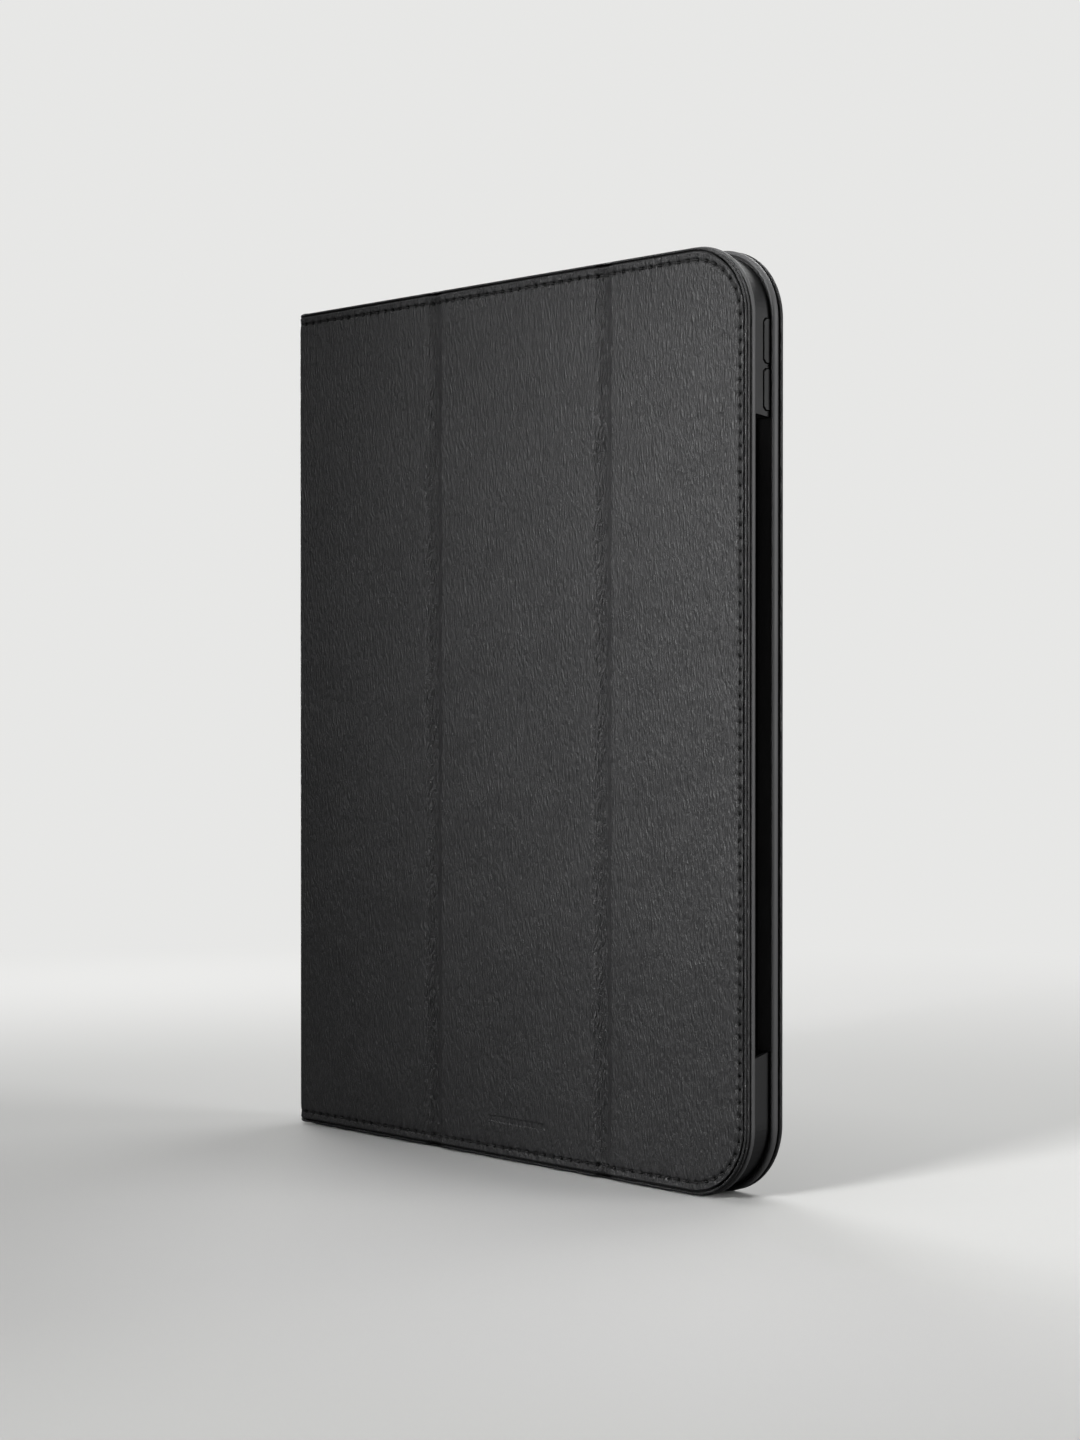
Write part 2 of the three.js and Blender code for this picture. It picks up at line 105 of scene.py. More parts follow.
# The leather as one strip unrolled from the front, where s is the distance from the spine's outer face.
ARC = KNUCKLE * math.pi / 2
KNUCKLE_X = LEFT + KNUCKLE
FRONT_KNUCKLE_Y = FRONT + KNUCKLE
BACK_KNUCKLE_Y = BACK - KNUCKLE
FRONT_ARC = KNUCKLE
SPINE_START = FRONT_ARC - ARC
SPINE_END = SPINE_START - (BACK_KNUCKLE_Y - FRONT_KNUCKLE_Y)
BACK_ARC = SPINE_END - ARC
WEB = 3.9
SPINE_HOLD = 1.75
FRONT_WEB = (SPINE_START - SPINE_HOLD, WEB)
SPINE_SPAN = (SPINE_END + SPINE_HOLD, SPINE_START - SPINE_HOLD)
BACK_WEB = (BACK_ARC - (WEB - KNUCKLE), SPINE_END + SPINE_HOLD)
WEB_X = LEFT + WEB
SPINE_END_INSET = 1.6

# The lining as one strip on the inside: flat, a small hollow corner, up the spine, a corner, flat.
HOLLOW = 0.6
LINING_CORNER_X = SPINE_INNER_X + HOLLOW
LINING_ARC = HOLLOW * math.pi / 2
LINING_RISE = (BACK_INNER_Y - HOLLOW) - (INNER_Y + HOLLOW)


def smooth(t):
    t = np.clip(t, 0, 1)
    return t * t * (3 - 2 * t)


def channel_dip(x):
    """1 in the middle of a folding channel, 0 on a panel, and a smooth valley between."""
    dip = np.zeros_like(np.asarray(x, float))
    for centre in CHANNELS:
        u = np.clip(np.abs(x - centre) / CHANNEL_HALF, 0, 1)
        dip = dip + 0.5 * (1 + np.cos(math.pi * u))
    return dip


def edge_point(s):
    """The outline's point at s along the stitch row, and the outward direction there."""
    s = np.asarray(s, float)
    turned = STRAIGHT + QUARTER + SIDE
    quarter = math.pi / 2
    turn = np.clip((s - STRAIGHT) / ROW_RADIUS, 0, quarter) + np.clip((s - turned) / ROW_RADIUS, 0, quarter)
    out_x, out_z = np.sin(turn), -np.cos(turn)
    back = np.maximum(s - turned - QUARTER, 0)
    x = LEFT + np.minimum(s, STRAIGHT) - back + CORNER * out_x
    z = CORNER + np.clip(s - STRAIGHT - QUARTER, 0, SIDE) + CORNER * out_z
    return x, z, out_x, out_z


# ---------------------------------------------------------------- how leather sinks under its stitches

def channel_recess(inset, dip):
    """How deep a channel is where its valley has come down by dip: shallower near the edge."""
    return RECESS * dip * (1 - (1 - RIM_RECESS) * np.exp(-((inset / RIM_REACH) ** 2)))


def row_shift(s):
    """How far the stitch row strays from its nominal inset: nearer the edge along the free side."""
    side = smooth((s - STRAIGHT) / QUARTER) * smooth((ROW_LENGTH - STRAIGHT - s) / QUARTER)
    return END_ROW_SHIFT + (SIDE_ROW_SHIFT - END_ROW_SHIFT) * side


def shifted(s, inset):
    """Insets moved along with the row where they are near it."""
    near = np.exp(-(((inset - STITCH_INSET) / 1.6) ** 2))
    return inset + row_shift(s) * near


def from_stitching(s, inset):
    """The distances to the nearest needle hole along the row, and to the row across it."""
    return np.abs((s / PITCH + 0.5) % 1 - 0.5) * PITCH, inset - STITCH_INSET - row_shift(s)


def stitch_depth(s, inset):
    """How far the leather is drawn below its flat face, at s along the row and inset from the edge."""
    from_hole, across = from_stitching(s, inset)
    pulled = np.exp(-((from_hole / 0.85) ** 2))
    hole = 0.85 * np.exp(-((from_hole / 0.46) ** 2)) * np.exp(-((across / 0.46) ** 2))
    groove = 0.30 * np.exp(-((across / 0.36) ** 2))
    margin = 0.13 * pulled * np.exp(-(((across + 0.95) / 0.65) ** 2))
    field = 0.09 * pulled * np.exp(-(((across - 0.9) / 0.7) ** 2))
    valley = 0.06 * np.exp(-((across / 1.2) ** 2))
    return hole + groove + margin + field + valley


def rim_fade(inset):
    """0 on the rim's side and seam, 1 on the face, by the order of the points in a section."""
    order = np.arange(inset.shape[-1])
    return np.where(order > FACE_POINT, smooth((inset - 0.5) / 0.9), 0.0)


def relief(x, z):
    """The slight unevenness of leather glued to a board."""
    place = Vector((x / 22, z / 34, 0.3))
    return 0.05 * noise.noise(place) + 0.02 * noise.noise(place * 3.1)


MARK_X, MARK_Z, MARK_HALF, MARK_RADIUS, MARK_DEPTH = 6.0, 11.8, 12.0, 0.9, 0.2


def mark_depth(x, z):
    """The plain pressed bar near the bottom of the middle panel."""
    beyond = np.maximum(np.abs(x - MARK_X) - (MARK_HALF - MARK_RADIUS), 0)
    distance = np.hypot(beyond, z - MARK_Z) - MARK_RADIUS
    return MARK_DEPTH * smooth(0.5 - distance / 0.35)


# ---------------------------------------------------------------- rims, as (inset, depth below the face)

FRONT_RIM = [
    (0.97, 2.08), (0.66, 2.13), (0.38, 2.04), (0.26, 1.84), (0.25, 1.58), (0.34, 1.36), (0.56, 1.22),
    (0.88, 1.08), (0.52, 0.88), (0.44, 0.68), (0.48, 0.50), (0.62, 0.36), (0.80, 0.34), (0.94, 0.46),
    (1.02, 0.85), (1.36, 0.85), (1.42, 0.25), (1.50, 0.06), (1.62, 0.0),
]
BACK_RIM = [
    (0.97, 1.30), (0.90, 1.31), (0.62, 1.31), (0.44, 1.29), (0.30, 1.24), (0.19, 1.16), (0.11, 1.05),
    (0.06, 0.93), (0.04, 0.80), (0.05, 0.67), (0.08, 0.54), (0.14, 0.41), (0.24, 0.28), (0.38, 0.17),
    (0.58, 0.08), (0.86, 0.02), (1.20, 0.0), (1.40, 0.0), (1.58, 0.0),
]
LINING_RIM = [
    (0.97, 1.70), (0.92, 1.75), (0.50, 1.71), (0.26, 1.62), (0.09, 1.45), (0.0, 1.18), (0.0, 0.78),
    (0.05, 0.50), (0.18, 0.25), (0.40, 0.09), (0.70, 0.02), (1.05, 0.0),
]
BACK_WEB_RIM = [
    (0.97, 1.40), (0.90, 1.50), (0.50, 1.47), (0.28, 1.40), (0.10, 1.25), (0.02, 1.02), (0.0, 0.72),
    (0.04, 0.46), (0.15, 0.23), (0.36, 0.08), (0.62, 0.02), (0.95, 0.0),
]
BACK_LINING_RIM = [
    (0.97, 2.20), (0.90, 2.27), (0.55, 2.25), (0.30, 2.12), (0.12, 1.90), (0.03, 1.60), (0.0, 1.20),
    (0.03, 0.80), (0.12, 0.45), (0.30, 0.16), (0.55, 0.02), (0.82, 0.01), (1.05, 0.10), (1.22, 0.30),
    (1.32, 0.60), (1.42, 0.76), (1.70, 0.80), (2.60, 0.80),
]
SPINE_RIM_DEPTH = 0.5
RIM_RECESS = 0.42
RIM_REACH = 4.5
FACE_POINT = 10
CLEAR = 0.02
FRONT_UNDER = BOARD_Y - FRONT - CLEAR
BACK_UNDER = BACK - BACK_SKIN_Y - CLEAR
SPINE_UNDER = SPINE_BOARD_X - LEFT - CLEAR
LINING_UNDER = INNER_Y - LINING_Y - CLEAR
SPINE_LINING_UNDER = SPINE_INNER_X - SPINE_LINING_X - 0.03

STITCH_ROWS = [
    1.7, 1.95, 2.15, 2.35, 2.5, 2.63, 2.76, 2.88, 3.0, 3.12,
    3.24, 3.37, 3.5, 3.7, 3.95, 4.25, 4.7, 5.4, 6.4, BAND,
]
PLAIN_ROWS = [1.5, 2.5, 4.0, BAND]
MARK_ROWS = list(np.arange(10.2, 13.5, 0.2))
FIELD_ROWS = list(np.linspace(BAND, HEIGHT - BAND, 70)[1:-1])


def spine_inset(s):
    """How much shorter the spine is than the covers, eased in round its corners."""
    start = WEB - 1.0
    reach = start - SPINE_START
    front = 1 - np.sqrt(1 - np.clip((start - s) / reach, 0, 1) ** 2)
    back = 1 - np.sqrt(1 - np.clip((s - (BACK_ARC - (start - KNUCKLE))) / reach, 0, 1) ** 2)
    return SPINE_END_INSET * np.minimum(front, back)


def wrap(s, radius, bend, start, corner_x, front_y, back_y):
    """The x and y on a strip that runs along the front, round a corner at s = start, up the spine, round a
    second corner and along the back. The corners' centres are (corner_x, front_y) and (corner_x, back_y).
    bend is their radius where s is measured, and radius is the same at the point's own depth."""
    past, radius = np.broadcast_arrays(start - np.asarray(s, float), np.asarray(radius, float))
    arc, rise = bend * math.pi / 2, back_y - front_y
    angle = (np.clip(past, 0, arc) + np.clip(past - arc - rise, 0, arc)) / bend
    flat = np.maximum(-past, 0) + np.maximum(past - 2 * arc - rise, 0)
    x = corner_x + flat - radius * np.sin(angle)
    return x, front_y + np.clip(past - arc, 0, rise) - radius * np.cos(angle)


def wrap_leather(s, depth):
    """The x and y of the leather at s along the unrolled strip and depth below its outer face."""
    return wrap(s, KNUCKLE - depth, KNUCKLE, KNUCKLE, KNUCKLE_X, FRONT_KNUCKLE_Y, BACK_KNUCKLE_Y)


def wrap_lining(s, depth):
    """The same for the lining, with s from the front's hollow corner and depth away from the tablet."""
    return wrap(s, HOLLOW + depth, HOLLOW, 0, LINING_CORNER_X, INNER_Y + HOLLOW, BACK_INNER_Y - HOLLOW)


# ---------------------------------------------------------------- mesh making

def row_place(x, z):
    """The s and inset of points on a cover's face, measured against the stitch row's own outline."""
    cz = np.where(z < HEIGHT / 2, CORNER - z, z - (HEIGHT - CORNER))
    cx = x - (RIGHT - CORNER)
    in_corner = (cx > 0) & (cz > 0)
    on_side = (cx > 0) & ~in_corner
    turn = np.arctan2(np.maximum(cx, 0), np.maximum(cz, 1e-9))
    along = np.where(in_corner, STRAIGHT + ROW_RADIUS * turn, np.where(on_side, 0, x - LEFT))
    along = np.where(z < HEIGHT / 2, along, ROW_LENGTH - along)
    s = np.where(on_side, STRAIGHT + QUARTER + (z - CORNER), along)
    inset = np.where(in_corner, CORNER - np.hypot(cx, cz), np.where(on_side, RIGHT - x, CORNER - cz))
    return s, inset


def painted_recess_shade(points):
    """How much painted shade a point gets for lying in a needle hole, along the stitch row's groove or in the
    front rim's seam groove, 0 to 1.
    """
    x, y, z = points.T
    s, inset = row_place(x, z)
    from_hole, across = from_stitching(s, inset)
    hole = np.exp(-((from_hole / 0.50) ** 2)) * np.exp(-((across / 0.50) ** 2))
    groove = 0.6 * np.exp(-((across / 0.30) ** 2))
    # painted shade in the narrow seam groove of the front rim
    sunk = np.where(y < 0, smooth((y - FRONT - 0.3) / 0.4), 0)
    painted_seam_shade = sunk * smooth((inset - 0.75) / 0.15) * smooth((1.6 - inset) / 0.12)
    return np.clip(1.1 * hole + groove + painted_seam_shade, 0, 1)


def creased(points):
    """How far a point is down a folding channel, where the leather is creased, 0 to 1."""
    x, y, _ = points.T
    return np.where(y < 0, channel_dip(x), 0)


def remember_place(mesh):
    """Keep each point's place at rest, which the materials read."""
    rest = mesh.attributes.new("rest_co", "FLOAT_VECTOR", "POINT")
    rest.data.foreach_set("vector", np.array([v.co for v in mesh.vertices], np.float32).ravel())


def make_object(name, points, faces, material, sharp=58):
    """A smooth-shaded object from points in millimetres."""
    points = np.asarray(points, float) * MM
    mesh = bpy.data.meshes.new(name)
    mesh.from_pydata(points.tolist(), [], [tuple(int(i) for i in f) for f in faces])
    mesh.validate()
    mesh.shade_smooth()
    mesh.set_sharp_from_angle(angle=math.radians(sharp))
    remember_place(mesh)
    if material == MATERIALS["leather"]:
        kept = np.array([v.co for v in mesh.vertices]) / MM
        # each leather point keeps its painted shade for holes and grooves, and how far down a channel it lies
        for label, measure in (("painted_recess_shade", painted_recess_shade), ("creased", creased)):
            values = mesh.attributes.new(label, "FLOAT", "POINT")
            values.data.foreach_set("value", measure(kept).astype(np.float32))
    mesh.materials.append(material)
    obj = bpy.data.objects.new(name, mesh)
    bpy.context.scene.collection.objects.link(obj)
    return obj


def grid_faces(rows, columns, closed=True, flip=False):
    faces = []
    for i in range(rows - 1):
        for j in range(columns if closed else columns - 1):
            k = (j + 1) % columns
            face = (i * columns + j, (i + 1) * columns + j, (i + 1) * columns + k, i * columns + k)
            faces.append(face[::-1] if flip else face)
    return faces


def bridge(first, second, flip):
    """Quads between two closed rings of point numbers."""
    quads = zip(first, [*first[1:], first[0]], [*second[1:], second[0]], second)
    return [quad[::-1] if flip else quad for quad in quads]


def cap(first, count, flip):
    ring = list(range(first, first + count))
    return ring[::-1] if flip else ring


def lofted(name, s_values, loop_of, material, flip=False):
    """A closed body lofted through loops of (x, y, z), one for each s, with its two ends closed."""
    loops = [loop_of(s) for s in s_values]
    count = len(loops[0])
    faces = grid_faces(len(loops), count, flip=flip)
    faces.append(cap(0, count, flip))
    faces.append(cap((len(loops) - 1) * count, count, not flip))
    return make_object(name, np.concatenate(loops), faces, material)


def stations(a, b, step):
    return np.linspace(a, b, max(2, int(round(abs(b - a) / step)) + 1))


def leather_loop(s, marked=False):
    """The closed section of the front leather, spine or back web at s along the unrolled strip."""
    to_spine = smooth((WEB - s) / (WEB - FRONT_ARC)) if s > SPINE_START else 1.0
    to_back = smooth((BACK_ARC + 0.6 - s) / 2.6) if s < SPINE_END else 0.0
    rim, back = np.array(FRONT_RIM), np.array(BACK_RIM)
    rim[:, 1] *= 1 + (SPINE_RIM_DEPTH - 1) * to_spine
    rim = rim + (back - rim) * to_back
    under = FRONT_UNDER + (SPINE_UNDER - FRONT_UNDER) * to_spine
    under = under + (BACK_UNDER - under) * to_back
    x_flat = LEFT + s
    dip = float(channel_dip(np.array(x_flat))) if s > WEB else 0.0
    under = under + (RECESS + STRIP_LINING_Y - STRIP_Y - CLEAR - under) * dip
    rows = np.array(STITCH_ROWS)
    from_knuckle = max(s, BACK_ARC + KNUCKLE - s)
    inset = shifted(from_knuckle, np.concatenate([rim[:, 0], rows]))
    sink = stitch_depth(np.full(len(inset), from_knuckle), inset) * smooth((from_knuckle + 0.4) / 0.8)
    sink *= rim_fade(inset)
    face = np.concatenate([rim[:, 1], 0 * rows]) + channel_recess(inset, dip)
    low_depth = np.concatenate([[under], face + sink])
    inset = np.concatenate([[rim[0, 0]], inset])
    z_low = inset + spine_inset(s) * np.exp(-((inset / 2.2) ** 2))
    z_mid = np.array(sorted(FIELD_ROWS + MARK_ROWS) if marked else FIELD_ROWS)
    mid_depth = np.full(len(z_mid), RECESS * dip)
    if marked:
        mid_depth = mid_depth + mark_depth(x_flat, z_mid)
    z = np.concatenate([z_low, z_mid, (HEIGHT - z_low)[::-1]])
    total = np.concatenate([low_depth, mid_depth, low_depth[::-1]])
    x, y = wrap_leather(np.full(len(z), s), total)
    out = np.stack([x, y, z], 1)
    if s >= WEB:
        fade = smooth((inset - 1.0) / 3.0)
        soft = np.concatenate([fade, np.ones(len(z_mid)), fade[::-1]])
        ease = float(smooth((s - WEB) / 6.0))
        out[:, 1] += np.array([relief(px, pz) for px, _, pz in out]) * soft * ease
    return out


def lining_loop(s):
    """The closed section of the inner lining, from the front panels round the spine to the back cover."""
    x_flat = LINING_CORNER_X + s
    top = -LINING_ARC - LINING_RISE
    to_spine = float(smooth((0.6 - s) / 1.0))
    to_back = float(smooth((top + 0.1 - s) / 1.2))
    rim, back = np.array(LINING_RIM), np.array(BACK_WEB_RIM)
    rim[:, 1] *= 1 + (SPINE_LINING_UNDER / LINING_RIM[1][1] - 1) * to_spine
    rim = rim + (back - rim) * to_back
    under = LINING_UNDER + (SPINE_LINING_UNDER - 0.01 - LINING_UNDER) * to_spine
    under = under + (BACK_BOARD_Y - BACK_INNER_Y - CLEAR - under) * to_back
    dip = float(channel_dip(np.array(x_flat))) if s > 0 else 0.0
    strip = INNER_Y - STRIP_LINING_Y
    rim[:, 1] *= 1 + (strip / LINING_RIM[1][1] - 1) * dip
    under = under + (strip - CLEAR - under) * dip
    rows = np.array(PLAIN_ROWS)
    inset = np.concatenate([[rim[0, 0]], rim[:, 0], rows])
    crease = 0.35 * dip
    depth = np.concatenate([[under], rim[:, 1] + crease * smooth(1 - rim[:, 1]), np.full(len(rows), crease)])
    inset_z = SPINE_END_INSET * to_spine * (1 - to_back)
    z_low = inset + inset_z * np.exp(-((inset / 2.2) ** 2))
    z_mid = np.array(FIELD_ROWS[::3])
    z = np.concatenate([z_low, z_mid, (HEIGHT - z_low)[::-1]])
    total = np.concatenate([depth, np.full(len(z_mid), crease), depth[::-1]])
    x, y = wrap_lining(np.full(len(z), s), total)
    return np.stack([x, y, z], 1)


# ---------------------------------------------------------------- covers with round corners

def inside_cover(x, z, left, inset):
    """Whether points are inside the cover's outline drawn in by inset."""
    radius = CORNER - inset
    cx = np.maximum(x - (RIGHT - CORNER), 0)
    cz = np.maximum(np.maximum(CORNER - z, z - (HEIGHT - CORNER)), 0)
    low_enough = (x > left) & (x < RIGHT - inset) & (z > inset) & (z < HEIGHT - inset)
    return low_enough & ((cx == 0) | (cz == 0) | (np.hypot(cx, cz) < radius))


def rounded_box(x0, x1, z0, z1, radius, steps=14):
    """The outline of a rounded rectangle in the X-Z plane."""
    points = []
    left, right, bottom, top = x0 + radius, x1 - radius, z0 + radius, z1 - radius
    centres = [(right, bottom), (right, top), (left, top), (left, bottom)]
    for quarter, (cx, cz) in enumerate(centres):
        for i in range(steps + 1):
            angle = math.pi / 2 * (quarter - 1 + i / steps)
            points.append((cx + radius * math.cos(angle), cz + radius * math.sin(angle)))
    return np.array(points)


def inside_ring(points, ring):
    """Whether each point lies inside a closed ring, by counting the crossings to its right."""
    x, z = points[:, :1], points[:, 1:]
    ax, az = ring.T
    bx, bz = np.roll(ring, -1, 0).T
    spans = (az > z) != (bz > z)
    cross = ax + (z - az) / np.where(bz == az, 1.0, bz - az) * (bx - ax)
    return (spans & (x < cross)).sum(1) % 2 == 1


def triangulate(rings, grid):
    """The points of closed rings and of a grid, and anticlockwise triangles between them."""
    points = np.concatenate([*rings, grid])
    constraint = []
    first = 0
    for ring in rings:
        constraint += [(first + i, first + (i + 1) % len(ring)) for i in range(len(ring))]
        first += len(ring)
    out = geometry.delaunay_2d_cdt([Vector(p) for p in points], constraint, [], 0, 1e-5)
    source = [min(o) for o in out[3]]
    triangles = np.array([[source[i] for i in f] for f in out[2]])
    a, b, c = (points[triangles[:, i]] for i in range(3))
    area = (b[:, 0] - a[:, 0]) * (c[:, 1] - a[:, 1]) - (b[:, 1] - a[:, 1]) * (c[:, 0] - a[:, 0])
    return points, np.where(area[:, None] > 0, triangles, triangles[:, ::-1])


def fill_field(boundary, hole, left, inset, spacing=4.0):
    """Triangles between a boundary and an optional hole, with a staggered grid of points between them."""
    x0, z0 = boundary.min(0)
    x1, z1 = boundary.max(0)
    gx, gz = np.meshgrid(np.arange(x0 + spacing, x1, spacing), np.arange(z0 + spacing, z1, spacing))
    gx = gx + (np.arange(gx.shape[0])[:, None] % 2) * spacing / 2
    grid = np.stack([gx.ravel(), gz.ravel()], 1)
    keep = inside_cover(grid[:, 0], grid[:, 1], left + spacing / 2, inset + spacing / 2)
    if hole is not None:
        half = (hole.max(0) - hole.min(0)) / 2
        keep &= np.max(np.abs(grid - hole.mean(0)) - half, axis=1) > spacing / 2
    points, triangles = triangulate([boundary] if hole is None else [boundary, hole], grid[keep])
    middles = points[triangles].mean(1)
    inside = inside_cover(middles[:, 0], middles[:, 1], left, inset - 0.01)
    if hole is not None:
        inside &= ~inside_ring(middles, hole)
    return points, triangles[inside]


def fill_sheet(outer, hole, spacing):
    """Triangles between an outer ring and a hole, with a square grid of points between them."""
    low, high = outer.min(0), outer.max(0)
    gx, gz = np.meshgrid(np.arange(low[0], high[0], spacing), np.arange(low[1], high[1], spacing))
    grid = np.stack([gx.ravel(), gz.ravel()], 1)
    rings = np.concatenate([outer, hole])
    apart = np.min(np.hypot(*(grid[:, None] - rings[None]).transpose(2, 0, 1)), axis=1) > spacing / 2
    grid = grid[apart & inside_ring(grid, outer) & ~inside_ring(grid, hole)]
    points, triangles = triangulate([outer, hole], grid)
    middles = points[triangles].mean(1)
    return points, triangles[inside_ring(middles, outer) & ~inside_ring(middles, hole)]


def cover_leaf(name, left, rim, under, face_y, into, stitched, material, hole=None, hole_rim=None):
    """One sheet of a cover with round free corners: a band along its U-shaped edge and a field inside it.
    into is +1 where the sheet's body lies towards +Y of its face."""
    start = left - LEFT
    rim = np.array(rim)
    rows = np.array(STITCH_ROWS if stitched else PLAIN_ROWS)
    s_values = stations(start, ROW_LENGTH - start, FINE if stitched else 1.0)
    inset = np.concatenate([[BAND, rim[0, 0]], rim[:, 0], rows])
    depth = np.concatenate([[under, under], rim[:, 1], np.zeros(len(rows))])
    count = len(inset)
    x, z, out_x, out_z = edge_point(s_values)
    insets = np.repeat(inset[None, :], len(s_values), 0)
    if stitched:
        insets[:, 2:] = shifted(s_values[:, None], insets[:, 2:])
    px = x[:, None] - out_x[:, None] * insets
    pz = z[:, None] - out_z[:, None] * insets
    pd = np.repeat(depth[None, :], len(s_values), 0)
    if stitched:
        pd[:, 2:] += stitch_depth(s_values[:, None], insets[:, 2:]) * rim_fade(insets[:, 2:])
        bumps = np.array([relief(a, b) for a, b in zip(px.ravel(), pz.ravel())]).reshape(px.shape)
        fade = smooth((inset - 1.0) / 3.0) * (np.arange(count) > FACE_POINT + 2)
        pd = pd + bumps * fade[None, :]
    band = np.stack([px, face_y + into * pd, pz], 2).reshape(-1, 3)
    flip = into < 0
    faces = grid_faces(len(s_values), count, closed=False, flip=not flip)

    boundary = np.stack([px[:, -1], pz[:, -1]], 1)
    edge_z = np.array(FIELD_ROWS)[::-1]
    edge = np.stack([np.full(len(edge_z), left), edge_z], 1)
    ring = np.concatenate([boundary, edge])
    points, triangles = fill_field(ring, hole, left, BAND)
    n_band, n_ring = len(s_values), len(ring)
    vertices = [band]
    total = len(band)
    layers = []
    for level, column in ((0.0, count - 1), (under, 0)):
        index = {}
        extra = []
        for k, (a, b) in enumerate(points):
            if k < n_band:
                index[k] = k * count + column
            else:
                lift = relief(a, b) if level == 0.0 and stitched else 0.0
                index[k] = total + len(extra)
                extra.append((a, face_y + into * (level + lift), b))
        vertices.append(np.array(extra))
        total += len(extra)
        layers.append(index)
        for t in triangles:
            t = [index[k] for k in t]
            outward = (level == 0.0) == (into > 0)
            faces.append(t if outward else t[::-1])
    top, bottom = layers
    straight = range(n_band, n_ring)
    low_end = list(range(count))[::-1]
    high_end = list(range((n_band - 1) * count, n_band * count))
    outline = [top[k] for k in straight] + low_end + [bottom[k] for k in straight][::-1] + high_end
    faces.append(outline if into > 0 else outline[::-1])
    if hole is not None:
        n_hole = len(hole)
        middle = hole.mean(0)
        previous = [top[n_ring + i] for i in range(n_hole)]
        for out, deep in hole_rim:
            shrunk = middle + (hole - middle) * (1 - out / np.abs(hole - middle).max())
            vertices.append(np.array([(a, face_y + into * deep, b) for a, b in shrunk]))
            current = list(range(total, total + n_hole))
            total += n_hole
            faces += bridge(previous, current, into > 0)
            previous = current
        faces += bridge(previous, [bottom[n_ring + i] for i in range(n_hole)], into > 0)
    return make_object(name, np.concatenate(vertices), faces, material)


# ---------------------------------------------------------------- thread

def stitches(name, numbers, side, material):
    """One mesh of single stitches. side is 'front' or 'back', and numbers count along the row."""
    points, faces = [], []
    around, steps = 8, 9
    for number in numbers:
        middle = (number + 0.5) * PITCH
        ts = np.linspace(-1, 1, steps)
        s = middle + ts * (PITCH / 2 - THREAD_GAP)
        depth = THREAD_DEPTH + THREAD_DIVE * ts**4
        x, z, out_x, out_z = edge_point(s)
        row = STITCH_INSET + row_shift(s)
        x = x - out_x * row
        z = z - out_z * row
        lateral = np.stack([out_x, 0 * x, out_z], 1)
        if side == "front":
            depth = depth + channel_recess(row, channel_dip(x))
        near = np.minimum(s, ROW_LENGTH - s)
        px, y = wrap_leather(near if side == "front" else BACK_ARC + KNUCKLE - near, depth)
        x = np.where(near < WEB, px, x)
        path = np.stack([x, y, z], 1)
        along = np.gradient(path, axis=0)
        along /= np.linalg.norm(along, axis=1)[:, None]
        normal = np.cross(along, lateral)
        first = sum(len(p) for p in points)
        taper = 1 - 0.2 * np.abs(ts) ** 3
        ring = []
        for j in range(around):
            angle = 2 * math.pi * j / around
            spoke = math.cos(angle) * lateral + 0.8 * math.sin(angle) * normal
            ring.append(path + THREAD_RADIUS * taper[:, None] * spoke)
        ring = np.stack(ring, 1).reshape(-1, 3)
        points.append(ring)
        faces += [tuple(first + i for i in f) for f in grid_faces(steps, around)]
        faces.append([first + i for i in range(around)])
        faces.append([first + (steps - 1) * around + i for i in range(around)][::-1])
    return make_object(name, np.concatenate(points), faces, material, sharp=80)


# ---------------------------------------------------------------- materials

